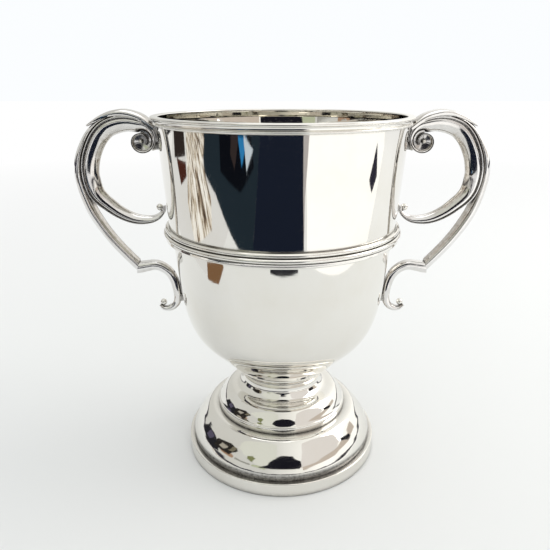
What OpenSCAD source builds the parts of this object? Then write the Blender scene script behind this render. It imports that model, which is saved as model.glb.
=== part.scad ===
// Two-handled presentation cup in silver, soldered up from spun, drawn and cast pieces.
// Millimetres, Z up. The origin is the middle of the ring that the cup stands on, and the
// handles lie along X.

/* [Overall] */
// Height from the table to the top of the lip
cup_height = 174.9; // [174.6:0.1:175.4]
// Radius of the lip, over its moulding
lip_radius = 60.5; // [60.2:0.1:60.8]
// Thickness of the spun silver sheet
sheet = 1; // [0.9:0.1:1.3]

/* [Bowl] */
// Outer radius of the bowl just under the rim moulding
wall_top_radius = 58.2; // [58:0.1:58.3]
// How far the upper wall leans in for each millimetre that it goes down
wall_lean = 0.07; // [0.06:0.005:0.08]
// Outer radius of the lower bowl just under the girdle
lower_top_radius = 53.7; // [53.4:0.1:53.8]
// Height of the joint between the bowl and the stem collar
bowl_foot_z = 44.2; // [44:0.1:44.4]

/* [Girdle] */
// Height of the top of the girdle moulding
girdle_top_z = 124.5; // [124:0.5:126]
// Height of each of the two reeds
reed_height = 2.1; // [2:0.1:2.2]
// Radius over the larger reed
girdle_radius = 57.8; // [57.4:0.1:58.2]

/* [Foot] */
// Radius of the plinth ring that the cup stands on
plinth_radius = 51; // [50.6:0.1:51.4]
// Height of the plinth ring
plinth_height = 6.9; // [6.5:0.1:7.1]
// Radius of the step between the two domes of the foot
step_radius = 34.2; // [34:0.1:34.5]
// Height of the joint between the two domes
step_z = 23.6; // [23.4:0.1:23.8]
// Radius of the stem at its narrowest
stem_radius = 19.7; // [19:0.1:20]

/* [Handles] */
// Distance of the volute's centre from the axis of the cup
volute_x = 66.2; // [66:0.1:66.4]
// Height of the volute's centre
volute_z = 163; // [162.8:0.1:163.2]
// Radius of the small beads that end the scrolls
bead_radius = 1.7; // [1.5:0.1:1.8]

/* [Hidden] */
$fn = 96;

// Steps that a round stretch of an outline is cut into
arc_steps = 10;
// Rings that a scroll has between two rows of its route
rings_per_row = 2;

moulding_bottom_z = 170.7;
girdle_height = 6.3;
girdle_wall_z = girdle_top_z - girdle_height / 2;
stem_collar_radius = 21.8;
stem_collar_height = 1.8;
stem_top_z = bowl_foot_z - stem_collar_height;
stem_bore = 15;

// The solder pads that carry each handle: [from x, to x, from z, to z, half width]
upper_pad = [55, 61, 158.6, 162.6, 3.2];
lower_pad = [46, 52.6, 81.8, 86.4, 2.3];

// Two points of the mitre between the outer limb and the tail scroll
mitre_top = [72.3, 103.2];
mitre_bottom = [73.6, 97.2];

// Routes of the scrolls. Each row is [x, z, thickness, half depth] at one edge of the piece.
// The outer limb is soldered along the back of the C scroll, so both share these edge points.
shared_edge = [[84.4, 171.3], [88.9, 166.8], [92.2, 161], [94.4, 154.8], [95.2, 148], [94.3, 141.6]];
back_thickness = [7.7, 7.7, 7.6, 7.6, 7.4, 7.2];
limb_thickness = [1.6, 2.6, 3.3, 3.9, 4.3, 4.5];

crest_rows = [[70.5, 174.2, 7.1, 4.2], [74.8, 174.4, 7.5, 4.2], [79.4, 173.6, 7.7, 4.2]];
c_lower_rows = [
    [92.5, 137.1, 6.8, 4.1], [89.7, 133.6, 6.4, 4], [86.1, 130.6, 6, 3.9], [81.8, 127.5, 5.5, 3.7],
    [77, 125, 5.1, 3.5], [72.3, 123.6, 4.6, 3.3], [67.8, 123.3, 4.1, 3], [63.3, 124, 3.4, 2.7],
    [59.7, 126, 2.7, 2.4], [57.5, 128.9, 2.1, 2.2], [57.5, 132, 1.5, 2]
];
limb_first_row = [[79.4, 173.6, 0.9, 3.4]];
limb_lower_rows = [
    [92.8, 135.8, 4.6, 3.6], [90.9, 130.3, 4.7, 3.5], [88.2, 125, 4.7, 3.4], [84.8, 119.4, 4.6, 3.3],
    [80.7, 113.8, 4.6, 3.2], [76.3, 108.6, 4.6, 3.1], [71.6, 103.4, 4.6, 3], [67, 98.4, 4.6, 3]
];
leaf_rows = [
    [58.6, 169.9, 2.4, 4.4], [62.2, 173, 2.7, 4.4], [65.7, 175.3, 3, 4.3], [70, 176.8, 3.1, 4.2],
    [74.6, 177.4, 3.1, 4.2], [79.6, 176.6, 2.6, 4], [84.4, 174.7, 2.1, 3.5],
    [88.5, 172.3, 1.5, 2.6], [91.5, 170.3, 0.8, 1.2]
];
tail_rows = [
    [77, 102.9, 5.8, 3], [72.3, 103.2, 5.7, 3], [68.9, 103.5, 5.2, 2.9], [65.4, 103.9, 4.9, 2.8],
    [62, 103.4, 4.7, 2.8], [59, 101.9, 4.5, 2.7], [56.4, 99.7, 4.3, 2.7], [54.5, 97, 4.2, 2.6],
    [52.9, 92.9, 4.1, 2.5], [52.1, 88.5, 4, 2.5], [51.9, 84.2, 3.9, 2.4], [52.8, 80.6, 3.7, 2.3],
    [55.2, 77.8, 3.3, 2.2], [58.6, 76.5, 2.8, 2.1], [61.8, 77.1, 2.1, 2], [63.9, 79.4, 1.5, 1.9]
];
c_bead_at = [60, 131.3];
tail_bead_at = [61.4, 81.2];

// Sections of the scrolls: [share of the thickness, share of the half depth], front half only.
// Their first point is on the edge that the route gives.
c_section = [[0, 1], [0.08, 1], [0.13, 0.78], [0.3, 0.88], [0.55, 0.8], [0.85, 0.45], [1, 0]];
limb_section = [[0, 0.62], [0.28, 0.96], [0.42, 1], [0.6, 0.95], [1, 0.36]];
leaf_section = [[0, 0.6], [0.18, 0.94], [0.5, 1], [1, 0.9]];
tail_section = [[0, 0.45], [0.12, 0.84], [0.4, 1], [0.75, 0.92], [1, 0.4]];

polished = [0.86, 0.85, 0.82];
warm_silver = [0.82, 0.79, 0.72];
shaded = [0.62, 0.61, 0.6];

// ---- outlines ----

// An arc about the point c, from angle a0 to angle a1
function arc(c, r, a0, a1, steps = arc_steps) =
    [for (i = [0 : steps]) let (a = a0 + (a1 - a0) * i / steps) c + r * [cos(a), sin(a)]];

// A quarter-round bead that stands out from radius r between two heights
function bead(r, top, bottom, out) =
    [for (i = [0 : arc_steps]) let (a = 90 - 180 * i / arc_steps)
        [r + out * cos(a), (top + bottom) / 2 + (top - bottom) / 2 * sin(a)]];

// Outside of the upper wall at height z
function wall_radius(z) = wall_top_radius - wall_lean * (moulding_bottom_z - z);

// The lower bowl leaves the girdle leaning in 5.7 degrees, turns through two arcs, and runs
// straight to the stem. Angles are the lean of the outline from the vertical.
lower_lean = 5.7;
shoulder_lean = 17.7;
cone_lean = 44.7;
shoulder_arc = 75;
turn_arc = 34;
lower_line = 27.1;
function down(p, lean, length) = p - length * [sin(lean), cos(lean)];
function turn_in(p, r, lean0, lean1, steps = arc_steps) =
    [for (i = [1 : steps]) let (a = lean0 + (lean1 - lean0) * i / steps)
        p - r * [cos(lean0) - cos(a), sin(a) - sin(lean0)]];
function lower_outline(thick) =
    let (
        lean_in = thick * [cos(lower_lean), sin(lower_lean)],
        p0 = [lower_top_radius, girdle_top_z - girdle_height] - lean_in,
        p1 = down(p0, lower_lean, lower_line),
        a1 = turn_in(p1, shoulder_arc - thick, lower_lean, shoulder_lean),
        a2 = turn_in(a1[arc_steps - 1], turn_arc - thick, shoulder_lean, cone_lean),
        p2 = a2[arc_steps - 1],
        floor_z = bowl_foot_z + thick,
        run = (p2[1] - floor_z) / cos(cone_lean)
    ) concat([p0, p1], a1, a2, [down(p2, cone_lean, run)]);

module bowl_solid() {
    outer = concat([[wall_radius(cup_height - 1), cup_height - 1],
                    [wall_radius(girdle_wall_z), girdle_wall_z]], lower_outline(0));
    rotate_extrude() polygon(concat([[0, cup_height - 1]], outer, [[0, bowl_foot_z]]));
}

module bowl() {
    inner = concat([[wall_radius(cup_height) - sheet, cup_height],
                    [wall_radius(girdle_wall_z) - sheet, girdle_wall_z]], lower_outline(sheet));
    color(polished)
    difference() {
        bowl_solid();
        rotate_extrude() polygon(concat([[0, cup_height]], inner, [[0, bowl_foot_z + sheet]]));
    }
}

// Drawn wire that stiffens the lip: a round edge, a hollow below it, and a small bead
module rim_moulding() {
    edge_z = cup_height - 0.6;
    neck_r = 58.9;
    bead_top = 172.1;
    bead_bottom = 170.9;
    cap = arc([wall_top_radius - sheet + 0.3, cup_height - 0.5], 0.5, 180, 90);
    edge = arc([lip_radius - 0.6, edge_z], 0.6, 90, -60);
    hollow = arc([lip_radius + 0.1, bead_top + 0.3], 1.65, 130, 180);
    color(polished)
    difference() {
        rotate_extrude() polygon(concat(
            [[wall_top_radius - sheet - 0.2, cup_height - 1]], cap, edge, hollow,
            bead(neck_r - 0.2, bead_top, bead_bottom, 0.8),
            [[wall_top_radius + 0.1, moulding_bottom_z], [wall_top_radius - sheet, moulding_bottom_z]]));
        bowl_solid();
    }
}

// Drawn moulding round the middle: two reeds, the lower one larger, over a flat fillet
module girdle_moulding() {
    reed2_top = girdle_top_z - reed_height;
    fillet_top = reed2_top - reed_height;
    bottom = girdle_top_z - girdle_height;
    root = girdle_radius - 1.2;
    color(polished)
    difference() {
        rotate_extrude() polygon(concat(
            [[lower_top_radius - 1, girdle_top_z]],
            [[wall_radius(girdle_top_z) + 0.4, girdle_top_z]],
            bead(root - 0.7, girdle_top_z, reed2_top, 1.1),
            bead(root, reed2_top, fillet_top, 1.2),
            [[root - 0.6, fillet_top], [root + 0.2, fillet_top - 0.4]],
            arc([root - 0.3, bottom + 0.7], 0.6, 20, -70, 4),
            [[lower_top_radius, bottom], [lower_top_radius - 1, bottom]]));
        bowl_solid();
    }
}

// Flat-edged ring that the bowl sits on
module stem_collar() {
    soft = 0.35;
    low = stem_top_z;
    top = bowl_foot_z;
    color(polished)
    rotate_extrude() polygon(concat(
        [[stem_bore, top]],
        arc([stem_collar_radius - soft, top - soft], soft, 90, 0, 4),
        arc([stem_collar_radius - soft - 0.4, low + soft], soft, 0, -90, 4),
        [[stem_bore, low]]));
}

// Outside of the stem and the upper dome, from the collar down to the step
function dome_outline() = concat(
    [[stem_radius + 0.8, stem_top_z]],
    arc([stem_radius + 5.2, 40.4], 5.2, 160, 205),
    [[20.7, 37.4], [21.3, 36.5], [22, 35.7], [22.9, 35], [24, 34.65], [25.6, 34.45], [27.2, 34.2],
     [28.4, 33.8], [29.4, 33.1], [30.3, 32.2], [31.1, 31.2], [31.8, 30.2], [32.4, 29.2], [33, 28.1]],
    arc([step_radius - 1.2, step_z + 2.7], 1.2, 68, 0, 6),
    [[step_radius, step_z]]);

// Spun stem and upper dome of the foot
module foot_dome() {
    outer = dome_outline();
    color(polished)
    difference() {
        rotate_extrude() polygon(concat([[0, stem_top_z]], outer, [[0, step_z]]));
        translate([0, 0, -1]) cylinder(r = stem_bore, h = stem_top_z + 2);
        rotate_extrude() polygon([
            [0, step_z - 1], [step_radius - 2.4, step_z - 1], [step_radius - 2.4, step_z + 0.6],
            [step_radius - 2.4, 27.4], [30.8, 29.5], [29.4, 31.3], [27.9, 32.6], [26.8, 33],
            [23.6, 33.5], [21.6, 34.6], [20, 36.3], [19.1, 37.8], [18.6, 39], [18.4, 40], [0, 40]]);
    }
}

// Outside of the lower dome, from the step down to the groove over the plinth
function skirt_outline() = [
    [step_radius - 2.4, step_z], [37.7, step_z], [38.7, 23.3], [39.5, 22.8], [40.3, 22.1], [41.3, 21],
    [42.4, 19.7], [43.4, 18.5], [44.3, 17.3], [45.15, 16.1], [45.9, 14.9], [46.6, 13.7], [47.25, 12.4],
    [47.8, 11.2], [48.2, 10.1], [48.4, 9], [48.35, 8], [48.1, plinth_height]];

// Spun lower dome of the foot
module foot_skirt() {
    outer = skirt_outline();
    color(polished)
    difference() {
        rotate_extrude() polygon(concat([[0, step_z]], outer, [[0, plinth_height]]));
        rotate_extrude() polygon([
            [0, plinth_height - 1], [46.8, plinth_height - 1], [46.9, 9.4], [46.1, 11.8],
            [44.8, 14.3], [43.2, 16.6], [41.4, 18.9], [39.4, 21.2], [37.8, 22.3], [36, step_z - sheet],
            [step_radius - 3.6, step_z - sheet], [step_radius - 3.6, step_z + 1], [0, step_z + 1]]);
    }
}

// Heavy ring that the cup stands on
module plinth_ring() {
    soft = 0.5;
    rest_inner = 46.6;
    color(polished)
    rotate_extrude() polygon(concat(
        [[rest_inner, plinth_height], [49.4, plinth_height]],
        arc([plinth_radius - soft - 0.2, plinth_height - soft], soft, 90, 0, 4),
        arc([plinth_radius - soft, soft], soft, 0, -90, 4),
        [[rest_inner, 0]]));
}

// ---- scrolls ----

// One point of a smooth curve through four rows, at share t between the middle two
function spline_at(a, b, c, d, t) = 0.5 * (2 * b + (c - a) * t + (2 * a - 5 * b + 4 * c - d) * t * t
    + (3 * b - a - 3 * c + d) * t * t * t);
function spline(rows) =
    let (n = len(rows))
    concat([for (i = [0 : n - 2]) for (k = [0 : rings_per_row - 1])
        spline_at(rows[max(i - 1, 0)], rows[i], rows[i + 1], rows[min(i + 2, n - 1)],
                  k / rings_per_row)], [rows[n - 1]]);

function mirrored(section) = concat(
    [for (p = section) [p[0], -p[1]]],
    [for (i = [len(section) - 1 : -1 : 0]) if (section[i][1] > 0) section[i]]);

// Solid swept along a route. side is 1 where the thickness lies to the right of the route
// as seen with X to the right and Z up, and -1 where it lies to the left.
module scroll(rows, half_section, side) {
    path = spline(rows);
    section = mirrored(half_section);
    m = len(section);
    n = len(path);
    points = [for (i = [0 : n - 1])
        let (
            a = path[max(i - 1, 0)],
            b = path[min(i + 1, n - 1)],
            p = path[i],
            run = [b[0] - a[0], b[1] - a[1]] / norm([b[0] - a[0], b[1] - a[1]]),
            across = side * [run[1], -run[0]]
        )
        for (s = section)
            [p[0] + across[0] * s[0] * p[2], s[1] * p[3], p[1] + across[1] * s[0] * p[2]]];
    walls = [for (i = [0 : n - 2]) for (j = [0 : m - 1])
        let (k = (j + 1) % m)
        each [[i * m + j, i * m + k, (i + 1) * m + k], [i * m + j, (i + 1) * m + k, (i + 1) * m + j]]];
    start = [[for (j = [m - 1 : -1 : 0]) j]];
    end = [[for (j = [0 : m - 1]) (n - 1) * m + j]];
    faces = concat(start, walls, end);
    polyhedron(points, side > 0 ? faces : [for (f = faces) [for (i = [len(f) - 1 : -1 : 0]) f[i]]]);
}

// A box given as [from x, to x, from z, to z, half width]
module pad_block(pad) {
    translate([pad[0], -pad[4], pad[2]]) cube([pad[1] - pad[0], 2 * pad[4], pad[3] - pad[2]]);
}

// Half space on the cup side of the mitre
module mitre_block(outside) {
    reach = 40;
    tilt = atan2(mitre_bottom[0] - mitre_top[0], mitre_top[1] - mitre_bottom[1]);
    translate([mitre_top[0], 0, mitre_top[1]])
    rotate([0, -tilt, 0])
    translate([outside ? 0 : -reach, -reach / 2, -reach / 2]) cube([reach, reach, reach]);
}

// The volute winds in from the crest and narrows. Angle 90 is straight over its centre, 0 faces
// the cup, and the share is 0 at the inner end and 1 at the crest.
volute_end = -400;
volute_turn = 35;
eye_radius = 2.7;
eye_thickness = 0.9;
eye_half_depth = 3.4;
scroll_half_depth = 4.2;
limb_half_depth = 3.7;
// How much wider and thicker the volute is at the crest: an even part, and a part that comes late
radius_even = 3.6;
radius_late = 3.95;
thickness_even = 0.9;
thickness_late = 4.85;
function volute_share(a) = (a - volute_end) / (90 - volute_end);
function volute_radius(a) = eye_radius + radius_even * volute_share(a)
    + radius_late * pow(volute_share(a), 5);
function volute_thickness(a) = eye_thickness + thickness_even * volute_share(a)
    + thickness_late * pow(volute_share(a), 7);
function volute_row(a) = [
    volute_x - volute_radius(a) * cos(a), volute_z + volute_radius(a) * sin(a),
    volute_thickness(a), eye_half_depth + (scroll_half_depth - eye_half_depth) * volute_share(a)];
volute_rows = [for (a = [volute_end : volute_turn : 90]) volute_row(a)];

function with_widths(edge, thickness, depth) =
    [for (i = [0 : len(edge) - 1]) [edge[i][0], edge[i][1], thickness[i], depth]];

c_rows = concat(volute_rows, crest_rows,
    with_widths(shared_edge, back_thickness, scroll_half_depth), c_lower_rows);
limb_rows = concat(limb_first_row,
    with_widths(shared_edge, limb_thickness, limb_half_depth), limb_lower_rows);

module c_scroll() {
    color(warm_silver)
    difference() {
        scroll(c_rows, c_section, 1);
        pad_block(upper_pad);
        c_bead();
        volute_boss();
    }
}

module outer_limb() {
    color(polished)
    difference() {
        scroll(limb_rows, limb_section, -1);
        mitre_block(false);
    }
}

module thumb_leaf() {
    color(polished)
    difference() {
        scroll(leaf_rows, leaf_section, 1);
        rim_moulding();
        bowl_solid();
    }
}

module tail_scroll() {
    color(warm_silver)
    difference() {
        scroll(tail_rows, tail_section, -1);
        mitre_block(true);
        pad_block(lower_pad);
        tail_bead();
    }
}

// Turned boss in the eye of the volute: a disc that the last turn closes on, with a button on
// each side
module volute_boss() {
    disc = 2;
    disc_half_depth = 1.8;
    button = 1.3;
    button_out = 2.7;
    color(polished)
    translate([volute_x, 0, volute_z])
    rotate([90, 0, 0]) {
        cylinder(r = disc, h = 2 * disc_half_depth, center = true);
        for (s = [-1, 1]) translate([0, 0, s * button_out]) sphere(r = button);
    }
}

module c_bead() {
    color(polished) translate([c_bead_at[0], 0, c_bead_at[1]]) sphere(r = bead_radius);
}

module tail_bead() {
    color(polished) translate([tail_bead_at[0], 0, tail_bead_at[1]]) sphere(r = bead_radius);
}

module upper_joint() {
    color(shaded) difference() { pad_block(upper_pad); bowl_solid(); }
}

module lower_joint() {
    color(shaded) difference() { pad_block(lower_pad); bowl_solid(); }
}

module left() { mirror([1, 0, 0]) children(); }

bowl();
rim_moulding();
girdle_moulding();
stem_collar();
foot_dome();
foot_skirt();
plinth_ring();
left() c_scroll();  // left_c_scroll
left() outer_limb();  // left_outer_limb
left() thumb_leaf();  // left_thumb_leaf
left() tail_scroll();  // left_tail_scroll
left() volute_boss();  // left_volute_boss
left() c_bead();  // left_c_bead
left() tail_bead();  // left_tail_bead
left() upper_joint();  // left_upper_pad
left() lower_joint();  // left_lower_pad
c_scroll();  // right_c_scroll
outer_limb();  // right_outer_limb
thumb_leaf();  // right_thumb_leaf
tail_scroll();  // right_tail_scroll
volute_boss();  // right_volute_boss
c_bead();  // right_c_bead
tail_bead();  // right_tail_bead
upper_joint();  // right_upper_pad
lower_joint();  // right_lower_pad
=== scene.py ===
"""Looks, stage and camera for the two-handled silver cup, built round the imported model.

Lengths in outlines and rows are millimetres in the model's own frame: handles along X, Z up,
the middle of the foot's rest at the origin. Meshes are made in metres.
"""
import math

import bmesh
import bpy
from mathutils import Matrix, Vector


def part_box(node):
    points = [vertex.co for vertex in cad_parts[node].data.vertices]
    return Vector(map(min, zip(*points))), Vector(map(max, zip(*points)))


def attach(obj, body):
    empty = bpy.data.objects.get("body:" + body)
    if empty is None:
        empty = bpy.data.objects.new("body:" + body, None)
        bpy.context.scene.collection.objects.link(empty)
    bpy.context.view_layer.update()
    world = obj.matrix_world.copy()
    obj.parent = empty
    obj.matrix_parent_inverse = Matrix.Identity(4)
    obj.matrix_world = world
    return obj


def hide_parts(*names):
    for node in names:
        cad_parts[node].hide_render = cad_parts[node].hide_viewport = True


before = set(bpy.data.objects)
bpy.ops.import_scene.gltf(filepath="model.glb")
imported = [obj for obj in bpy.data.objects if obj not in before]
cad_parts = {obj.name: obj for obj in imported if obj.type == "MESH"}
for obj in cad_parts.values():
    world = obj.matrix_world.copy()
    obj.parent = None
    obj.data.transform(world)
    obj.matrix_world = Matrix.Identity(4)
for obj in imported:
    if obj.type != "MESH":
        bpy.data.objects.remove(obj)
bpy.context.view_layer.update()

MM = 0.001

# ---- sizes, as in the model ----

CUP_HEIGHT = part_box("rim_moulding")[1].z / MM
LIP_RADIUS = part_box("rim_moulding")[1].y / MM
SHEET = 1.0
WALL_TOP_RADIUS = 58.2
WALL_LEAN = 0.07
MOULDING_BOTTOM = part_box("rim_moulding")[0].z / MM
LOWER_TOP_RADIUS = 53.7
BOWL_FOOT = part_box("bowl")[0].z / MM
GIRDLE_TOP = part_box("girdle_moulding")[1].z / MM
GIRDLE_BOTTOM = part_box("girdle_moulding")[0].z / MM
GIRDLE_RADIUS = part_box("girdle_moulding")[1].y / MM
REED = 2.1
COLLAR_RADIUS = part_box("stem_collar")[1].y / MM
STEM_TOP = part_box("stem_collar")[0].z / MM
STEM_BORE = 15
STEM_RADIUS = 19.7
STEP_RADIUS = 34.2
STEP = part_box("foot_dome")[0].z / MM
PLINTH_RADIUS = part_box("plinth_ring")[1].y / MM
PLINTH_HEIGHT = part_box("plinth_ring")[1].z / MM
REST_INNER = 46.6

VOLUTE = (66.2, 163.0)
C_BEAD = (60.0, 131.3)
TAIL_BEAD = (61.4, 81.2)
BEAD_RADIUS = 1.7
UPPER_PAD = (55, 61, 158.6, 162.6, 3.2)
LOWER_PAD = (46, 52.6, 81.8, 86.4, 2.3)
MITRE_TOP = (72.3, 103.2)
MITRE_BOTTOM = (73.6, 97.2)

# ---- outlines ----


def arc(centre, radius, start, end, steps=14):
    """Points on an arc from one angle to another, in degrees."""
    turns = [math.radians(start + (end - start) * i / steps) for i in range(steps + 1)]
    return [(centre[0] + radius * math.cos(a), centre[1] + radius * math.sin(a)) for a in turns]


def smooth(rows, per_row):
    """A Catmull-Rom curve through rows of any length."""
    last = len(rows) - 1
    out = []
    for i in range(last):
        around = rows[max(i - 1, 0)], rows[i], rows[i + 1], rows[min(i + 2, last)]
        for k in range(per_row):
            t = k / per_row
            out.append([
                0.5 * (2 * b + (c - a) * t + (2 * a - 5 * b + 4 * c - d) * t * t
                       + (3 * b - a - 3 * c + d) * t ** 3)
                for a, b, c, d in zip(*around)
            ])
    out.append(list(rows[last]))
    return out


def soften(points, radius, closed=True, from_angle=24, steps=5):
    """Rounds each corner that turns more than from_angle degrees."""
    out = []
    count = len(points)
    for i, here in enumerate(points):
        if not closed and i in (0, count - 1):
            out.append(tuple(here))
            continue
        p = Vector(here[:2])
        back = Vector(points[i - 1][:2]) - p
        ahead = Vector(points[(i + 1) % count][:2]) - p
        turn = 180 - math.degrees(back.angle(ahead)) if back.length and ahead.length else 0
        if turn < from_angle:
            out.append(tuple(p))
            continue
        half = math.radians(180 - turn) / 2
        cut = min(radius / math.tan(half), 0.45 * back.length, 0.45 * ahead.length)
        a, b = p + back.normalized() * cut, p + ahead.normalized() * cut
        for k in range(steps + 1):
            t = k / steps
            out.append(tuple(a * (1 - t) ** 2 + p * 2 * t * (1 - t) + b * t ** 2))
    return out


def split(points, step, closed=True):
    """Cuts the long stretches of an outline, so that smooth shading stays true."""
    out = []
    for here, ahead in zip(points, points[1:] + points[:1] if closed else points[1:]):
        p, q = Vector(here), Vector(ahead)
        parts = max(1, math.ceil((q - p).length / step))
        out += [tuple(p.lerp(q, k / parts)) for k in range(parts)]
    return out if closed else out + [tuple(points[-1])]


def wall_radius(z):
    return WALL_TOP_RADIUS - WALL_LEAN * (MOULDING_BOTTOM - z)


LOWER_LEAN, SHOULDER_LEAN, CONE_LEAN = 5.7, 17.7, 44.7
SHOULDER_ARC, TURN_ARC, LOWER_LINE = 75, 34, 27.1


def lower_outline(thick):
    """Lower bowl from the girdle to the stem: a leaning line, two arcs and a straight cone."""
    def lean(a):
        return math.sin(math.radians(a)), math.cos(math.radians(a))

    def turned(p, radius, start, end, steps=24):
        out = []
        s0, c0 = lean(start)
        for i in range(1, steps + 1):
            s1, c1 = lean(start + (end - start) * i / steps)
            out.append((p[0] - radius * (c0 - c1), p[1] - radius * (s1 - s0)))
        return out

    s, c = lean(LOWER_LEAN)
    top = (LOWER_TOP_RADIUS - thick * c, GIRDLE_BOTTOM - thick * s)
    low = (top[0] - LOWER_LINE * s, top[1] - LOWER_LINE * c)
    shoulder = turned(low, SHOULDER_ARC - thick, LOWER_LEAN, SHOULDER_LEAN)
    belly = turned(shoulder[-1], TURN_ARC - thick, SHOULDER_LEAN, CONE_LEAN)
    s, c = lean(CONE_LEAN)
    run = (belly[-1][1] - BOWL_FOOT - thick) / c
    foot = (belly[-1][0] - s * run, belly[-1][1] - c * run)
    return [top, low] + shoulder + belly + [foot]


def bowl_outline():
    """From the middle of the floor, up the inside, over the lip and down to the stem."""
    middle = (GIRDLE_TOP + GIRDLE_BOTTOM) / 2
    lip = CUP_HEIGHT - 0.8
    outer = [(wall_radius(lip), lip), (wall_radius(middle), middle)] + lower_outline(0)
    inner = [(wall_radius(lip) - SHEET, lip), (wall_radius(middle) - SHEET, middle)] + lower_outline(SHEET)
    return [(0.0, BOWL_FOOT + SHEET)] + inner[::-1] + outer + [(0.0, BOWL_FOOT)]


def bead(radius, top, bottom, out):
    """Half-round bead that stands out between two heights."""
    middle, half = (top + bottom) / 2, (top - bottom) / 2
    turns = [math.radians(90 - 180 * i / 16) for i in range(17)]
    return [(radius + out * math.cos(a), middle + half * math.sin(a)) for a in turns]


def rim_outline():
    inner = WALL_TOP_RADIUS - SHEET
    return (
        [(inner - 0.2, CUP_HEIGHT - 1.2)]
        + arc((inner + 0.3, CUP_HEIGHT - 0.5), 0.5, 180, 90)
        + arc((LIP_RADIUS - 0.6, CUP_HEIGHT - 0.6), 0.6, 90, -60)
        + arc((LIP_RADIUS + 0.1, 172.4), 1.65, 130, 180)
        + bead(58.7, 172.1, 170.9, 0.8)
        + [(WALL_TOP_RADIUS + 0.1, MOULDING_BOTTOM), (inner, MOULDING_BOTTOM)]
    )


def girdle_outline():
    root = GIRDLE_RADIUS - 1.2
    reed_top = GIRDLE_TOP - REED
    fillet_top = reed_top - REED
    inner = LOWER_TOP_RADIUS - 0.4
    return (
        [(wall_radius(GIRDLE_TOP) - 0.6, GIRDLE_TOP), (wall_radius(GIRDLE_TOP) + 0.4, GIRDLE_TOP)]
        + bead(root - 0.7, GIRDLE_TOP, reed_top, 1.1)
        + bead(root, reed_top, fillet_top, 1.2)
        + [(root - 0.6, fillet_top), (root + 0.2, fillet_top - 0.4)]
        + arc((root - 0.3, GIRDLE_BOTTOM + 0.7), 0.6, 20, -70, 6)
        + [(inner + 0.4, GIRDLE_BOTTOM), (inner, GIRDLE_BOTTOM)]
    )


def collar_outline():
    soft = 0.35
    return (
        [(STEM_BORE, BOWL_FOOT)]
        + arc((COLLAR_RADIUS - soft, BOWL_FOOT - soft), soft, 90, 0, 8)
        + arc((COLLAR_RADIUS - soft - 0.4, STEM_TOP + soft), soft, 0, -90, 8)
        + [(STEM_BORE, STEM_TOP)]
    )


def dome_outline():
    flank = [
        (20.7, 37.4), (21.3, 36.5), (22, 35.7), (22.9, 35), (24, 34.65), (25.6, 34.45), (27.2, 34.2),
        (28.4, 33.8), (29.4, 33.1), (30.3, 32.2), (31.1, 31.2), (31.8, 30.2), (32.4, 29.2), (33, 28.1)]
    neck = arc((STEM_RADIUS + 5.2, 40.4), 5.2, 160, 205, 12)
    edge = arc((STEP_RADIUS - 1.2, STEP + 2.7), 1.2, 68, 0, 10)
    inner = STEP_RADIUS - 2.4
    inside = [
        (inner, STEP), (inner, 27.4), (30.8, 29.5), (29.4, 31.3), (27.9, 32.6), (26.8, 33), (23.6, 33.5),
        (21.6, 34.6), (20, 36.3), (19.1, 37.8), (18.6, 39), (18.4, 40), (STEM_BORE, 40),
        (STEM_BORE, STEM_TOP)]
    return (
        [(STEM_RADIUS + 0.8, STEM_TOP)] + neck
        + [tuple(p) for p in smooth([neck[-2], neck[-1]] + flank, 3)[4:-1]]
        + [flank[-1]] + edge + [(STEP_RADIUS, STEP)] + inside)


def skirt_outline():
    flank = smooth([
        (37.7, STEP), (38.7, 23.3), (39.5, 22.8), (40.3, 22.1), (41.3, 21), (42.4, 19.7), (43.4, 18.5),
        (44.3, 17.3), (45.15, 16.1), (45.9, 14.9), (46.6, 13.7), (47.25, 12.4), (47.8, 11.2),
        (48.2, 10.1), (48.4, 9), (48.35, 8), (48.1, PLINTH_HEIGHT)], 3)
    inner = STEP_RADIUS - 3.6
    inside = [
        (46.8, PLINTH_HEIGHT), (46.9, 9.4), (46.1, 11.8), (44.8, 14.3), (43.2, 16.6), (41.4, 18.9),
        (39.4, 21.2), (37.8, 22.3), (36, STEP - SHEET), (inner, STEP - SHEET), (inner, STEP)]
    return [(STEP_RADIUS - 2.4, STEP)] + [tuple(p) for p in flank] + inside


def plinth_outline():
    soft = 0.5
    return (
        [(REST_INNER, PLINTH_HEIGHT), (49.4, PLINTH_HEIGHT)]
        + arc((PLINTH_RADIUS - soft - 0.2, PLINTH_HEIGHT - soft), soft, 90, 0, 8)
        + arc((PLINTH_RADIUS - soft, soft), soft, 0, -90, 8)
        + [(REST_INNER, 0)]
    )


# ---- mesh making ----


def finish_mesh(bm, name, sharp=38):
    bmesh.ops.recalc_face_normals(bm, faces=bm.faces)
    mesh = bpy.data.meshes.new(name)
    bm.to_mesh(mesh)
    bm.free()
    mesh.shade_smooth()
    mesh.set_sharp_from_angle(angle=math.radians(sharp))
    obj = bpy.data.objects.new(name, mesh)
    bpy.context.scene.collection.objects.link(obj)
    return obj


def lathe(name, outline, segments=224, step=1.3, closed=True):
    """Turns an outline round Z. Points on the axis become poles."""
    bm = bmesh.new()
    rings = []
    for r, z in outline:
        if r < 1e-6:
            rings.append([bm.verts.new((0, 0, z * MM))])
            continue
        turns = [2 * math.pi * k / segments for k in range(segments)]
        rings.append([bm.verts.new((r * MM * math.cos(a), r * MM * math.sin(a), z * MM)) for a in turns])
    pairs = list(zip(rings, rings[1:])) + ([(rings[-1], rings[0])] if closed else [])
    for low, high in pairs:
        for k in range(segments):
            n = (k + 1) % segments
            if len(low) == 1 and len(high) == 1:
                break
            if len(low) == 1:
                bm.faces.new((low[0], high[n], high[k]))
            elif len(high) == 1:
                bm.faces.new((low[k], low[n], high[0]))
            else:
                bm.faces.new((low[k], low[n], high[n], high[k]))
    return finish_mesh(bm, name)


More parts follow.
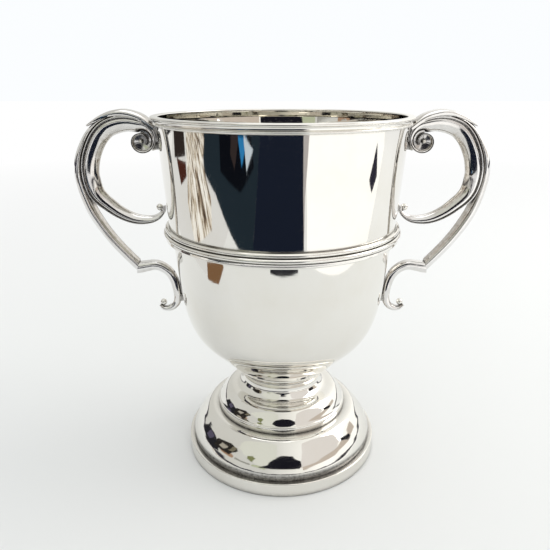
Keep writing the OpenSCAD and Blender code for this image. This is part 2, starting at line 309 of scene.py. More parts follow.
def sweep(name, rows, half_section, side, per_row=6, cut=None, flip=False):
    """Solid swept along rows of [x, z, thickness, half depth] at one edge of the piece.

    The half section's points are [share of thickness, share of half depth]. side is 1 where the
    thickness lies to the right of the route. cut is (point, normal): what lies beyond is removed.
    """
    path = smooth(rows, per_row)
    section = [(t, -d) for t, d in half_section]
    section += [(t, d) for t, d in reversed(half_section) if d > 0]
    bm = bmesh.new()
    rings = []
    for i, (x, z, thick, half) in enumerate(path):
        a, b = path[max(i - 1, 0)], path[min(i + 1, len(path) - 1)]
        run = Vector((b[0] - a[0], b[1] - a[1])).normalized()
        across = Vector((run.y, -run.x)) * side
        rings.append([
            bm.verts.new(((x + across.x * t * thick) * MM, d * half * MM, (z + across.y * t * thick) * MM))
            for t, d in section])
    count = len(section)
    for low, high in zip(rings, rings[1:]):
        for k in range(count):
            n = (k + 1) % count
            bm.faces.new((low[k], low[n], high[n], high[k]))
    for ring in (rings[0], rings[-1]):
        bm.faces.new(ring)
    if cut:
        point, normal = cut
        parts = bm.verts[:] + bm.edges[:] + bm.faces[:]
        made = bmesh.ops.bisect_plane(
            bm, geom=parts, plane_co=point, plane_no=normal, clear_outer=True)
        edges = [e for e in made["geom_cut"] if isinstance(e, bmesh.types.BMEdge)]
        bmesh.ops.contextual_create(bm, geom=edges)
    if flip:
        bmesh.ops.scale(bm, vec=(-1, 1, 1), verts=bm.verts)
    return finish_mesh(bm, name)


def ball(name, centre, radius, squash=1.0, flip=False):
    """Turned bead whose poles are along Y."""
    outline = [(radius * math.cos(a), radius * math.sin(a))
               for a in (math.radians(-90 + 180 * i / 20) for i in range(21))]
    outline[0], outline[-1] = (0.0, -radius), (0.0, radius)
    obj = lathe(name, outline, segments=40, closed=False)
    for v in obj.data.vertices:
        x, y, z = v.co
        v.co = ((centre[0] * MM + x) * (-1 if flip else 1), z * squash, centre[1] * MM + y)
    return obj


def saddle(name, pad, flip=False):
    """Soldered seat that flares where it meets the bowl, closed at both ends."""
    x0, x1, z0, z1, half = [v * MM for v in pad]
    x0 = x1 - 4.2 * MM
    middle = (z0 + z1) / 2
    bm = bmesh.new()
    rings = []
    for i in range(9):
        share = i / 8
        waist = 1 - 0.22 * math.sin(math.pi * share)
        ring = []
        for k in range(32):
            a = 2 * math.pi * k / 32
            c, s = math.cos(a), math.sin(a)
            box = 1 / (abs(c) ** 6 + abs(s) ** 6) ** (1 / 6)
            ring.append(bm.verts.new((
                x0 + (x1 - x0) * share, half * waist * c * box, middle + (z1 - z0) / 2 * waist * s * box)))
        rings.append(ring)
    for low, high in zip(rings, rings[1:]):
        for k in range(32):
            bm.faces.new((low[k], low[(k + 1) % 32], high[(k + 1) % 32], high[k]))
    for ring in (rings[0], rings[-1]):
        bm.faces.new(ring)
    if flip:
        bmesh.ops.scale(bm, vec=(-1, 1, 1), verts=bm.verts)
    return finish_mesh(bm, name)


# ---- scroll routes, as in the model ----

SHARED_EDGE = [(84.4, 171.3), (88.9, 166.8), (92.2, 161), (94.4, 154.8), (95.2, 148), (94.3, 141.6)]
BACK_THICKNESS = [7.7, 7.7, 7.6, 7.6, 7.4, 7.2]
LIMB_THICKNESS = [1.6, 2.6, 3.3, 3.9, 4.3, 4.5]
CREST = [(70.5, 174.2, 7.1, 4.2), (74.8, 174.4, 7.5, 4.2), (79.4, 173.6, 7.7, 4.2)]
C_LOWER = [
    (92.5, 137.1, 6.8, 4.1), (89.7, 133.6, 6.4, 4), (86.1, 130.6, 6, 3.9), (81.8, 127.5, 5.5, 3.7),
    (77, 125, 5.1, 3.5), (72.3, 123.6, 4.6, 3.3), (67.8, 123.3, 4.1, 3), (63.3, 124, 3.4, 2.7),
    (59.7, 126, 2.7, 2.4), (57.5, 128.9, 2.1, 2.2), (57.5, 132, 1.5, 2)]
LIMB_LOWER = [
    (92.8, 135.8, 4.6, 3.6), (90.9, 130.3, 4.7, 3.5), (88.2, 125, 4.7, 3.4), (84.8, 119.4, 4.6, 3.3),
    (80.7, 113.8, 4.6, 3.2), (76.3, 108.6, 4.6, 3.1), (71.6, 103.4, 4.6, 3), (67, 98.4, 4.6, 3)]
LEAF = [
    (58.6, 169.9, 2.4, 4.4), (62.2, 173, 2.7, 4.4), (65.7, 175.3, 3, 4.3), (70, 176.8, 3.1, 4.2),
    (74.6, 177.4, 3.1, 4.2), (79.6, 176.6, 2.6, 4), (84.4, 174.7, 2.1, 3.5),
    (88.5, 172.3, 1.5, 2.6), (91.5, 170.3, 0.8, 1.2)]
TAIL = [
    (77, 102.9, 5.8, 3), (72.3, 103.2, 5.7, 3), (68.9, 103.5, 5.2, 2.9), (65.4, 103.9, 4.9, 2.8),
    (62, 103.4, 4.7, 2.8), (59, 101.9, 4.5, 2.7), (56.4, 99.7, 4.3, 2.7), (54.5, 97, 4.2, 2.6),
    (52.9, 92.9, 4.1, 2.5), (52.1, 88.5, 4, 2.5), (51.9, 84.2, 3.9, 2.4), (52.8, 80.6, 3.7, 2.3),
    (55.2, 77.8, 3.3, 2.2), (58.6, 76.5, 2.8, 2.1), (61.8, 77.1, 2.1, 2), (63.9, 79.4, 1.5, 1.9)]

VOLUTE_END, VOLUTE_TURN = -400, 17.5


def volute_share(angle):
    return (angle - VOLUTE_END) / (90 - VOLUTE_END)


def volute_radius(angle):
    return 2.7 + 3.6 * volute_share(angle) + 3.95 * volute_share(angle) ** 5


def volute_thickness(angle):
    return 0.9 + 0.9 * volute_share(angle) + 4.85 * volute_share(angle) ** 7


def volute_rows():
    rows = []
    for i in range(round((90 - VOLUTE_END) / VOLUTE_TURN) + 1):
        angle = VOLUTE_END + VOLUTE_TURN * i
        a, r = math.radians(angle), volute_radius(angle)
        rows.append((
            VOLUTE[0] - r * math.cos(a), VOLUTE[1] + r * math.sin(a),
            volute_thickness(angle), 3.4 + 0.8 * volute_share(angle)))
    return rows


def with_widths(thickness, depth):
    return [(x, z, t, depth) for (x, z), t in zip(SHARED_EDGE, thickness)]


# Half sections, dense where they are round and with close pairs of points at a crisp edge
def c_section():
    flange = [(0, 0.94), (0.012, 0.985), (0.03, 1.0), (0.07, 1.0), (0.088, 0.985), (0.094, 0.95)]
    body = smooth([(0.1, 0.78), (0.13, 0.74), (0.2, 0.84), (0.3, 0.88), (0.42, 0.86), (0.58, 0.77),
                   (0.75, 0.6), (0.9, 0.36), (0.975, 0.16), (1.0, 0.0)], 3)
    return [(0, 0.0), (0, 0.4), (0, 0.8)] + flange + [tuple(p) for p in body]


def limb_section():
    body = [(0, 0.3), (0, 0.6), (0.02, 0.66), (0.27, 0.93), (0.31, 0.965), (0.42, 1.0), (0.55, 0.965),
            (0.6, 0.93), (0.97, 0.42), (1.0, 0.34), (1.0, 0.15)]
    return body


def leaf_section():
    return [(0, 0.3), (0, 0.6), (0.05, 0.72), (0.3, 0.965), (0.38, 0.99), (0.5, 1.0), (0.9, 0.94),
            (1.0, 0.86), (1.0, 0.4)]


def tail_section():
    return [tuple(p) for p in smooth(
        [(0, 0.12), (0, 0.45), (0.05, 0.68), (0.16, 0.88), (0.4, 1.0), (0.62, 0.98), (0.8, 0.86),
         (0.94, 0.62), (1.0, 0.38), (1.0, 0.1)], 3)]


C_ROWS = volute_rows() + CREST + with_widths(BACK_THICKNESS, 4.2) + C_LOWER
LIMB_ROWS = [(79.4, 173.6, 0.9, 3.4)] + with_widths(LIMB_THICKNESS, 3.7) + LIMB_LOWER


def volute_web(name, flip):
    """Wall that closes the middle of the volute, dished towards the eye."""
    edge = []
    for i in range(49):
        angle = -270 + 360 * i / 48
        a = math.radians(angle)
        r = volute_radius(angle) - volute_thickness(angle) / 2
        edge.append((-r * math.cos(a), r * math.sin(a)))
    bm = bmesh.new()
    sides = []
    for s in (-1, 1):
        rings = []
        for share, depth in ((1, 1.9), (0.7, 1.7), (0.4, 1.5), (0.15, 1.4)):
            rings.append([
                bm.verts.new(((VOLUTE[0] + x * share) * MM, s * depth * MM, (VOLUTE[1] + z * share) * MM))
                for x, z in edge])
        for low, high in zip(rings, rings[1:]):
            for k in range(48):
                bm.faces.new((low[k], low[k + 1], high[k + 1], high[k]))
        bm.faces.new(rings[-1])
        sides.append(rings[0])
    for k in range(48):
        bm.faces.new((sides[0][k], sides[0][k + 1], sides[1][k + 1], sides[1][k]))
    if flip:
        bmesh.ops.scale(bm, vec=(-1, 1, 1), verts=bm.verts)
    return finish_mesh(bm, name)


# ---- silver ----


def add_node(tree, kind, **settings):
    node = tree.nodes.new(kind)
    for key, value in settings.items():
        if hasattr(node, key):
            setattr(node, key, value)
        else:
            node.inputs[key.replace("_", " ")].default_value = value
    return node


def silver(name, clean, film, stain_and_shade, rough, film_amount=0.25, groove=0.003, scratch=0.0015, wave=0.0,
           inward=0.0, open_to=0.78, dark_band=None):
    """Polished silver: a clean colour, a thin uneven film, and darker stain where cloth can't reach.

    rough is (smoothest, dullest). groove is how wide a recess still counts as one, in metres.
    inward is how much film is left on faces that look at the axis of the cup. A face is darkened once
    less than open_to of what it looks at is clear. dark_band is two heights: the dark colour in full under
    the first, none over the second; over the step this darkening is painted shade.
    scratch and wave are bump heights in millimetres, of hairlines and of the hand-planished wall.
    """
    material = bpy.data.materials.new(name)
    material.use_nodes = True
    tree = material.node_tree
    shader = tree.nodes["Principled BSDF"]
    shader.inputs["Metallic"].default_value = 1.0
    link = tree.links.new
    coords = add_node(tree, "ShaderNodeTexCoord").outputs["Object"]

    patches = add_node(tree, "ShaderNodeTexNoise", Scale=42.0, Detail=5.0, Roughness=0.6)
    link(coords, patches.inputs["Vector"])
    film_share = add_node(tree, "ShaderNodeMapRange", From_Min=0.42, From_Max=0.72, To_Max=film_amount)
    link(patches.outputs["Fac"], film_share.inputs["Value"])
    if inward:
        geometry = add_node(tree, "ShaderNodeNewGeometry")
        level = add_node(tree, "ShaderNodeVectorMath", operation="MULTIPLY")
        level.inputs[1].default_value = (1, 1, 0)
        link(geometry.outputs["Position"], level.inputs[0])
        outward = add_node(tree, "ShaderNodeVectorMath", operation="NORMALIZE")
        link(level.outputs["Vector"], outward.inputs[0])
        facing = add_node(tree, "ShaderNodeVectorMath", operation="DOT_PRODUCT")
        link(geometry.outputs["Normal"], facing.inputs[0])
        link(outward.outputs["Vector"], facing.inputs[1])
        hidden = add_node(tree, "ShaderNodeMapRange", From_Min=0.05, From_Max=-0.75, To_Max=inward)
        link(facing.outputs["Value"], hidden.inputs["Value"])
        mottle = add_node(tree, "ShaderNodeTexNoise", Scale=620.0, Detail=4.0, Roughness=0.7)
        link(coords, mottle.inputs["Vector"])
        mottled = add_node(tree, "ShaderNodeMapRange", From_Min=0.35, From_Max=0.6, To_Min=0.45, To_Max=1.0)
        link(mottle.outputs["Fac"], mottled.inputs["Value"])
        kept = add_node(tree, "ShaderNodeMath", operation="MULTIPLY")
        link(hidden.outputs["Result"], kept.inputs[0])
        link(mottled.outputs["Result"], kept.inputs[1])
        both_films = add_node(tree, "ShaderNodeMath", operation="MAXIMUM")
        link(film_share.outputs["Result"], both_films.inputs[0])
        link(kept.outputs["Value"], both_films.inputs[1])
        share = both_films.outputs["Value"]
    else:
        share = film_share.outputs["Result"]
    filmed = add_node(tree, "ShaderNodeMix", data_type="RGBA")
    filmed.inputs[6].default_value = (*clean, 1)
    filmed.inputs[7].default_value = (*film, 1)
    link(share, filmed.inputs["Factor"])

    recess = add_node(tree, "ShaderNodeAmbientOcclusion", samples=8, Distance=groove)
    specks = add_node(tree, "ShaderNodeTexNoise", Scale=900.0, Detail=3.0, Roughness=0.7)
    link(coords, specks.inputs["Vector"])
    deep = add_node(tree, "ShaderNodeMapRange", From_Min=open_to, From_Max=open_to - 0.42, To_Max=1.0)
    link(recess.outputs["AO"], deep.inputs["Value"])
    uneven = add_node(tree, "ShaderNodeMapRange", From_Min=0.3, From_Max=0.7, To_Min=0.55, To_Max=1.0)
    link(specks.outputs["Fac"], uneven.inputs["Value"])
    dark = add_node(tree, "ShaderNodeMath", operation="MULTIPLY")
    # Darker under a height: painted shade where it lies over the step
    if dark_band:
        height = add_node(tree, "ShaderNodeSeparateXYZ")
        link(coords, height.inputs[0])
        line = add_node(tree, "ShaderNodeMapRange", From_Min=dark_band[0], From_Max=dark_band[1],
                        To_Min=0.95, To_Max=0.0)
        link(height.outputs["Z"], line.inputs["Value"])
        darkest = add_node(tree, "ShaderNodeMath", operation="MAXIMUM")
        link(deep.outputs["Result"], darkest.inputs[0])
        link(line.outputs["Result"], darkest.inputs[1])
        link(darkest.outputs["Value"], dark.inputs[0])
    else:
        link(deep.outputs["Result"], dark.inputs[0])
    link(uneven.outputs["Result"], dark.inputs[1])
    darkened = add_node(tree, "ShaderNodeMix", data_type="RGBA")
    darkened.inputs[7].default_value = (*stain_and_shade, 1)
    link(filmed.outputs[2], darkened.inputs[6])
    link(dark.outputs["Value"], darkened.inputs["Factor"])
    link(darkened.outputs[2], shader.inputs["Base Color"])

    # hairlines: noise stretched along two directions
    lines = []
    for turn, stretch in (((0, 0, 0), (160, 160, 5200)), ((0.5, 0.9, 0.3), (260, 4200, 260))):
        place = add_node(tree, "ShaderNodeMapping")
        place.inputs["Rotation"].default_value = turn
        place.inputs["Scale"].default_value = stretch
        link(coords, place.inputs["Vector"])
        grain = add_node(tree, "ShaderNodeTexNoise", Scale=1.0, Detail=2.0, Roughness=0.5)
        link(place.outputs["Vector"], grain.inputs["Vector"])
        lines.append(grain.outputs["Fac"])
    both = add_node(tree, "ShaderNodeMath", operation="MULTIPLY")
    link(lines[0], both.inputs[0])
    link(lines[1], both.inputs[1])
    dull = add_node(tree, "ShaderNodeMapRange", From_Min=0.15, From_Max=0.45,
                    To_Min=rough[0], To_Max=rough[1])
    link(both.outputs["Value"], dull.inputs["Value"])
    duller = add_node(tree, "ShaderNodeMath", operation="MULTIPLY_ADD")
    duller.inputs[1].default_value = 0.35
    link(dark.outputs["Value"], duller.inputs[0])
    link(dull.outputs["Result"], duller.inputs[2])
    link(duller.outputs["Value"], shader.inputs["Roughness"])

    hairline = add_node(tree, "ShaderNodeBump", Strength=1.0, Distance=scratch * MM)
    link(both.outputs["Value"], hairline.inputs["Height"])
    last = hairline
    if wave:
        ripple = add_node(tree, "ShaderNodeTexNoise", Scale=38.0, Detail=1.0, Roughness=0.4)
        link(coords, ripple.inputs["Vector"])
        planished = add_node(tree, "ShaderNodeBump", Strength=1.0, Distance=wave * MM)
        link(ripple.outputs["Fac"], planished.inputs["Height"])
        link(hairline.outputs["Normal"], planished.inputs["Normal"])
        last = planished
    link(last.outputs["Normal"], shader.inputs["Normal"])
    return material


CLEAN = (0.83, 0.815, 0.775)
FILM = (0.72, 0.68, 0.58)
# Dark colour of the tarnish in hollows, also used for the painted shade over the step
STAIN_AND_SHADE = (0.05, 0.045, 0.045)
FOOT_FINISH = dict(groove=0.0045, wave=0.04, open_to=0.8)
# Darker up to these heights: painted shade in the angle over the step, and a dark band in the angle over the
# plinth ring
STEP_PAINTED_SHADE = ((STEP + 0.2) * MM, (STEP + 1.8) * MM)
PLINTH_DARK_BAND = ((PLINTH_HEIGHT + 2.6) * MM, (PLINTH_HEIGHT + 3.9) * MM)
bowl_silver = silver("bowl_silver", CLEAN, FILM, STAIN_AND_SHADE, (0.025, 0.06), wave=0.06)
moulding_silver = silver("moulding_silver", CLEAN, FILM, STAIN_AND_SHADE, (0.05, 0.1), groove=0.0018)
lip_silver = silver("lip_silver", CLEAN, FILM, STAIN_AND_SHADE, (0.04, 0.08), film_amount=0.1, groove=0.001,
                    open_to=0.3)
foot_silver = silver("foot_silver", CLEAN, FILM, STAIN_AND_SHADE, (0.04, 0.09), **FOOT_FINISH)
# The dome's darkening over the step is painted shade
dome_silver = silver("dome_silver", CLEAN, FILM, STAIN_AND_SHADE, (0.04, 0.09), dark_band=STEP_PAINTED_SHADE, **FOOT_FINISH)
skirt_silver = silver("skirt_silver", CLEAN, FILM, STAIN_AND_SHADE, (0.04, 0.09), dark_band=PLINTH_DARK_BAND, **FOOT_FINISH)
scroll_silver = silver("scroll_silver", (0.83, 0.82, 0.81), (0.40, 0.35, 0.29), STAIN_AND_SHADE, (0.06, 0.15),
                       film_amount=0.4, groove=0.003, wave=0.04, inward=0.8, open_to=0.78)
bead_silver = silver("bead_silver", CLEAN, FILM, STAIN_AND_SHADE, (0.05, 0.1))
solder_silver = silver("solder_silver", (0.5, 0.49, 0.47), (0.3, 0.28, 0.25), STAIN_AND_SHADE, (0.25, 0.4))


def place(obj, material, slot, *nodes):
    obj.data.materials.append(material)
    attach(obj, "root")
    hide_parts(*nodes)
    return obj


# ---- bowl and foot ----


def turned(name, outline, edge=0.25):
    return lathe(name, split(soften(outline, edge), 1.3))


bowl = lathe("spun_bowl", split(bowl_outline(), 1.3, closed=False), closed=False)
place(bowl, bowl_silver, "bowl_silver", "bowl")
place(turned("lip_wire", rim_outline(), 0.15), lip_silver, "moulding_silver", "rim_moulding")
place(turned("girdle_wire", girdle_outline(), 0.12), moulding_silver, "moulding_silver", "girdle_moulding")
place(turned("bowl_collar", collar_outline()), foot_silver, "foot_silver", "stem_collar")
place(turned("foot_upper_dome", dome_outline()), dome_silver, "foot_silver", "foot_dome")
place(turned("foot_lower_dome", skirt_outline()), skirt_silver, "foot_silver", "foot_skirt")
place(turned("foot_ring", plinth_outline()), foot_silver, "foot_silver", "plinth_ring")

# ---- handles ----

tilt = math.atan2(MITRE_BOTTOM[0] - MITRE_TOP[0], MITRE_TOP[1] - MITRE_BOTTOM[1])
mitre_point = Vector((MITRE_TOP[0] * MM, 0, MITRE_TOP[1] * MM))
mitre_out = Vector((math.cos(tilt), 0, math.sin(tilt)))

for side_name, flip in (("left", True), ("right", False)):
    c_scroll = sweep(side_name + "_c", C_ROWS, c_section(), 1, flip=flip)
    place(c_scroll, scroll_silver, "scroll_silver", side_name + "_c_scroll")
    web = volute_web(side_name + "_volute_web", flip)
    place(web, scroll_silver, "scroll_silver", side_name + "_c_scroll")
    limb = sweep(side_name + "_limb", LIMB_ROWS, limb_section(), -1,
                 cut=(mitre_point, -mitre_out), flip=flip)
    place(limb, scroll_silver, "scroll_silver", side_name + "_outer_limb")
    leaf = sweep(side_name + "_leaf", LEAF, leaf_section(), 1, flip=flip)
    place(leaf, scroll_silver, "scroll_silver", side_name + "_thumb_leaf")
    tail = sweep(side_name + "_tail", TAIL, tail_section(), -1,
                 cut=(mitre_point, mitre_out), flip=flip)
    place(tail, scroll_silver, "scroll_silver", side_name + "_tail_scroll")
    eye = ball(side_name + "_eye", VOLUTE, 1.3, squash=3.0, flip=flip)
    place(eye, bead_silver, "bead_silver", side_name + "_volute_boss")
    for label, centre, node in (("c_end", C_BEAD, "_c_bead"), ("tail_end", TAIL_BEAD, "_tail_bead")):
        end = ball(side_name + "_" + label, centre, BEAD_RADIUS, flip=flip)
        place(end, bead_silver, "bead_silver", side_name + node)
    for label, pad, node in (("upper_seat", UPPER_PAD, "_upper_pad"),
                             ("lower_seat", LOWER_PAD, "_lower_pad")):
        seat = saddle(side_name + "_" + label, pad, flip=flip)
        place(seat, solder_silver, "solder_silver", side_name + node)

# ---- stage ----


def stage_material(name, colour, strength=None):
    material = bpy.data.materials.new(name)
    material.use_nodes = True
    shader = material.node_tree.nodes["Principled BSDF"]
    if strength is None:
        shader.inputs["Base Color"].default_value = (*colour, 1)
        shader.inputs["Roughness"].default_value = 0.9
    else:
        shader.inputs["Base Color"].default_value = (0, 0, 0, 1)
        shader.inputs["Specular IOR Level"].default_value = 0
        shader.inputs["Roughness"].default_value = 1
        shader.inputs["Emission Color"].default_value = (*colour, 1)
        shader.inputs["Emission Strength"].default_value = strength
    return material


def sheet(name, points, material):
    """A flat polygon on the stage. Its points are millimetres."""
    mesh = bpy.data.meshes.new(name)
    mesh.from_pydata([tuple(v * MM for v in p) for p in points], [], [list(range(len(points)))])
    obj = bpy.data.objects.new(name, mesh)
    obj.data.materials.append(material)
    bpy.context.scene.collection.objects.link(obj)
    return obj


FLOOR_REACH = 6000
FLOOR_DROP = 0.05
CARD_LIFT, CARD_STEP = 0.2, 0.1
WRAP_LIFT = 4
TABLE_COLOUR = (0.81, 0.81, 0.79)

floor_material = stage_material("floor", TABLE_COLOUR)
tree = floor_material.node_tree
away = add_node(tree, "ShaderNodeVectorMath", operation="LENGTH")
tree.links.new(add_node(tree, "ShaderNodeTexCoord").outputs["Object"], away.inputs[0])
fade = add_node(tree, "ShaderNodeMapRange", From_Min=0.2, From_Max=1.3, To_Max=1.0)
tree.links.new(away.outputs["Value"], fade.inputs["Value"])
haze = add_node(tree, "ShaderNodeEmission", Color=(1, 1, 1, 1), Strength=1.0)
blend = add_node(tree, "ShaderNodeMixShader")
tree.links.new(fade.outputs["Result"], blend.inputs[0])
tree.links.new(tree.nodes["Principled BSDF"].outputs[0], blend.inputs[1])
tree.links.new(haze.outputs[0], blend.inputs[2])
tree.links.new(blend.outputs[0], tree.nodes["Material Output"].inputs[0])
sheet("floor", [(FLOOR_REACH * x, FLOOR_REACH * y, -FLOOR_DROP) for x, y in
                ((-1, -1), (1, -1), (1, 1), (-1, 1))], floor_material)


def reflection_only(obj):
    """Hide an object from all but mirror-like rays."""
    for kind in ("camera", "diffuse", "shadow", "transmission", "volume_scatter"):
        setattr(obj, "visible_" + kind, False)
    return obj


# What the silver sees on and past the table: plain shapes, dark beyond its front edge and to the left.
# Only reflections see these cards. Each is (colour, points on the floor), and later ones lie on top.
CARDS = {
    "bright_table": ((1.3, 1.29, 1.26), [
        (150, -400), (100, -250), (300, -50), (900, 100), (1400, 100), (1400, -1200), (350, -1200)]),
    "left_table": ((0.8, 0.8, 0.79), [
        (-250, -50), (-300, -300), (-600, -250), (-1200, -200), (-1200, 400), (-500, 400)]),
    "cloth_edge": ((0.5, 0.47, 0.46), [
        (60, -250), (100, -300), (150, -450), (350, -900), (250, -900), (100, -400)]),
    "dark_cloth": ((0.01, 0.014, 0.027), [
        (-150, -300), (-100, -250), (60, -250), (100, -300), (250, -900), (-300, -900)]),
    "slate": ((0.016, 0.026, 0.036), [
        (-150, -300), (-300, -900), (-900, -1300), (-1500, -900), (-1100, -350), (-600, -200),
        (-450, -250), (-200, -250), (-100, -250)]),
    "black_swoosh": ((0.004, 0.005, 0.008), [
        (-700, -500), (-500, -350), (-300, -400), (-250, -550), (-600, -1100), (-1100, -900)]),
    "brown_stripe": ((0.035, 0.026, 0.025), [(-500, -500), (-400, -450), (-700, -1100), (-800, -900)]),
    "blue_patch": ((0.03, 0.22, 0.5), [(-500, -650), (-350, -500), (-400, -700)]),
    "white_patch": ((0.6, 0.68, 0.75), [(-450, -700), (-300, -500), (-300, -650)]),
    "brown_patch": ((0.07, 0.022, 0.015), [(-800, 250), (-750, 50), (-650, 50), (-600, 150)]),
    "dark_patch": ((0.03, 0.022, 0.02), [(-1300, 400), (-1300, 50), (-800, 50), (-800, 300)]),
    "dark_wedge": ((0.03, 0.028, 0.045), [(900, -50), (600, -100), (550, -50), (650, 0)]),
    "near_patch": ((0.22, 0.12, 0.06), [
        (-270, -60), (-240, -50), (-210, -100), (-220, -140), (-240, -140)]),
    "near_line": ((0.03, 0.03, 0.035), [(-50, -250), (60, -250), (60, -240), (-50, -240)]),
}
for index, (name, (colour, points)) in enumerate(CARDS.items()):
    layer = CARD_LIFT + CARD_STEP * index
    card = sheet("card_" + name, [(x, y, layer) for x, y in points], stage_material(name, colour, 1.0))
    reflection_only(card)

# Crumpled clear wrap on the table to the left: pale and dark streaks that run away from the cup
wrap = stage_material("wrap", (1, 1, 1), 1.0)
tree = wrap.node_tree
stretch = add_node(tree, "ShaderNodeMapping")
stretch.inputs["Rotation"].default_value = (0, 0, -0.25)
stretch.inputs["Scale"].default_value = (6, 55, 1)
tree.links.new(add_node(tree, "ShaderNodeTexCoord").outputs["Object"], stretch.inputs["Vector"])
creases = add_node(tree, "ShaderNodeTexNoise", Scale=1.0, Detail=3.0, Roughness=0.6, Distortion=0.8)
tree.links.new(stretch.outputs["Vector"], creases.inputs["Vector"])
shades = add_node(tree, "ShaderNodeValToRGB")
ramp = shades.color_ramp
ramp.elements[0].position, ramp.elements[0].color = 0.36, (0.05, 0.035, 0.03, 1)
ramp.elements[1].position, ramp.elements[1].color = 0.58, (1.05, 1.03, 0.98, 1)
for at, colour in ((0.43, (0.30, 0.22, 0.15, 1)), (0.49, (0.70, 0.62, 0.50, 1))):
    ramp.elements.new(at).color = colour
tree.links.new(creases.outputs["Fac"], shades.inputs["Fac"])
tree.links.new(shades.outputs["Color"], tree.nodes["Principled BSDF"].inputs["Emission Color"])
WRAP_EDGE = [(-1000, 0), (-1000, -350), (-800, -300), (-650, -200), (-450, -200), (-350, -150),
             (-350, 0), (-500, 50)]
reflection_only(sheet("card_wrap", [(x, y, WRAP_LIFT) for x, y in WRAP_EDGE], wrap))

# The room above the table, as reflections see it: dim and warm on the left, a window on the right,
# and dark along the horizon
DOME_RADIUS = 2500
dome = lathe("room_dome", [(DOME_RADIUS * math.cos(math.radians(e)), DOME_RADIUS * math.sin(math.radians(e)))
                           for e in range(-1, 90, 7)] + [(0.0, DOME_RADIUS)], segments=48, closed=False)
room = stage_material("room", (1, 1, 1), 1.0)
tree = room.node_tree
place_in_room = add_node(tree, "ShaderNodeTexCoord").outputs["Object"]
axes = add_node(tree, "ShaderNodeSeparateXYZ")
tree.links.new(place_in_room, axes.inputs[0])
across = add_node(tree, "ShaderNodeMapRange", From_Min=-0.8, From_Max=1.9, To_Max=1.0)
tree.links.new(axes.outputs["X"], across.inputs["Value"])
side_light = add_node(tree, "ShaderNodeMix", data_type="RGBA")
side_light.inputs[6].default_value = (0.70, 0.70, 0.67, 1)
side_light.inputs[7].default_value = (1.3, 1.29, 1.25, 1)
tree.links.new(across.outputs["Result"], side_light.inputs["Factor"])
clutter = add_node(tree, "ShaderNodeTexNoise", Scale=1.7, Detail=4.0, Roughness=0.55)
tree.links.new(place_in_room, clutter.inputs["Vector"])
uneven_top = add_node(tree, "ShaderNodeMath", operation="MULTIPLY_ADD")
uneven_top.inputs[1].default_value = -0.4
tree.links.new(clutter.outputs["Fac"], uneven_top.inputs[0])
tree.links.new(axes.outputs["Z"], uneven_top.inputs[2])
low_dark = add_node(tree, "ShaderNodeMapRange", From_Min=-0.10, From_Max=-0.04, To_Min=1.0, To_Max=0.0)
tree.links.new(uneven_top.outputs["Value"], low_dark.inputs["Value"])
walls = add_node(tree, "ShaderNodeMix", data_type="RGBA")
walls.inputs[7].default_value = (0.045, 0.043, 0.055, 1)
tree.links.new(side_light.outputs[2], walls.inputs[6])
tree.links.new(low_dark.outputs["Result"], walls.inputs["Factor"])
tree.links.new(walls.outputs[2], tree.nodes["Principled BSDF"].inputs["Emission Color"])
dome.data.materials.append(room)
reflection_only(dome)

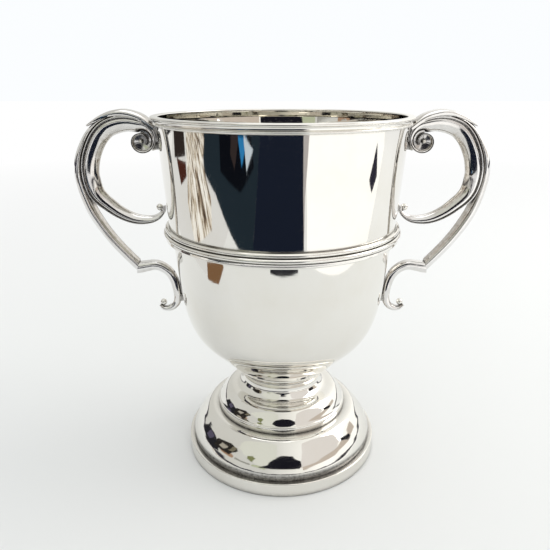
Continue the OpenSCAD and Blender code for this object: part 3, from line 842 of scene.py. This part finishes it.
# Plain shapes in the room. Each is (distance in metres, colour, corners as azimuth from the front and
# elevation in degrees, seen from a point a little over the floor).
SEEN_FROM = 20
PANELS = {
    "dark_mound": (0.8, (0.01, 0.01, 0.016), [
        (-27, 11), (20, 11), (23, 15), (23, 24), (14, 33), (0, 35), (-11, 30), (-17, 20)]),
    "shelf_a": (1.2, (0.02, 0.02, 0.025), [
        (-120, -1), (-92, 0), (-80, 5), (-86, 13), (-100, 15), (-114, 10)]),
    "shelf_b": (1.15, (0.1, 0.09, 0.14), [(-108, 3), (-100, 4), (-96, 13), (-106, 12)]),
    "shelf_c": (1.2, (0.025, 0.022, 0.02), [(-94, 5), (-66, 13), (-58, 25), (-72, 28), (-90, 17)]),
    "shelf_d": (1.15, (0.45, 0.42, 0.36), [(-84, 12), (-76, 13), (-72, 21), (-82, 18)]),
    "shelf_e": (1.15, (0.2, 0.18, 0.13), [(-70, 17), (-64, 19), (-60, 27), (-66, 26)]),
    "plant": (1.2, (0.22, 0.24, 0.11), [(-43, 20), (-36, 19), (-33, 26), (-38, 29), (-44, 26)]),
    "papers": (0.79, (0.11, 0.11, 0.12), [(-15, 14), (9, 14), (8, 18), (-13, 18.5)]),
    "low_green": (1.3, (0.5, 0.54, 0.38), [(-36, 10.5), (-19, 10.5), (-20, 15), (-35, 15)]),
    "low_grey": (1.3, (0.36, 0.36, 0.33), [(-58, 11), (-38, 10.5), (-37, 14.5), (-58, 15)]),
    "low_brown": (1.3, (0.42, 0.27, 0.18), [(-79, 9), (-61, 10), (-60, 15), (-78, 15)]),
    "low_beige": (1.3, (0.64, 0.56, 0.49), [(24, 8.5), (112, 8.5), (112, 14), (24, 13.5)]),
    "window_bar": (1.0, (0.02, 0.02, 0.025), [(83, 19), (92, 12), (98, 10), (99, 14), (90, 20), (85, 23)]),
    "warm_wall": (2.0, (0.87, 0.83, 0.8), [(20, 12), (60, 12), (96, 26), (98, 36), (60, 56), (34, 48)]),
    "warm_wall_left": (2.0, (0.78, 0.79, 0.72), [(-62, 30), (-24, 14), (-6, 14), (-8, 50), (-34, 58)]),
    "lamp": (2.2, (1.9, 1.9, 1.9), [(-72, 62), (20, 70), (110, 62), (180, 72), (-140, 72)]),
}
for name, (distance, colour, corners) in PANELS.items():
    points = []
    for azimuth, elevation in corners:
        a, e, reach = math.radians(azimuth), math.radians(elevation), distance / MM
        points.append((reach * math.sin(a) * math.cos(e), -reach * math.cos(a) * math.cos(e),
                       reach * math.sin(e) + SEEN_FROM))
    reflection_only(sheet("panel_" + name, points, stage_material("dark_" + name, colour, 1.0)))

world = bpy.data.worlds.new("studio")
world.use_nodes = True
background = world.node_tree.nodes["Background"]
background.inputs["Color"].default_value = (0.965, 0.985, 1.0, 1)
background.inputs["Strength"].default_value = 1.0
bpy.context.scene.world = world


def softbox(name, place_at, look_at, size, power, colour=(1, 1, 1)):
    light = bpy.data.lights.new(name, "AREA")
    light.shape = "RECTANGLE"
    light.size, light.size_y = size
    light.energy = power
    light.color = colour
    obj = bpy.data.objects.new(name, light)
    obj.location = place_at
    obj.rotation_mode = "QUATERNION"
    obj.rotation_quaternion = (Vector(look_at) - Vector(place_at)).to_track_quat("-Z", "Y")
    bpy.context.scene.collection.objects.link(obj)
    return obj


softbox("window_box", (0.95, 0.15, 0.75), (0.1, 0, 0.05), (0.7, 0.7), 3.5, (1, 0.99, 0.97))

# ---- camera ----

CAMERA_AT = Vector((-4.38, -262.47, 188.74)) * MM
CAMERA_FORWARD = Vector((0.0031, 0.9427, -0.3337))
SENSOR_WIDTH = 36
LENS = 35.53
camera = bpy.data.objects.new("camera", bpy.data.cameras.new("camera"))
camera.data.sensor_width = SENSOR_WIDTH
camera.data.lens = LENS
camera.data.clip_start = 0.01
camera.location = CAMERA_AT
camera.rotation_mode = "QUATERNION"
camera.rotation_quaternion = CAMERA_FORWARD.to_track_quat("-Z", "Y")
bpy.context.scene.collection.objects.link(camera)
bpy.context.scene.camera = camera

bpy.context.scene.view_settings.view_transform = "Standard"
bpy.context.scene.cycles.use_denoising = True
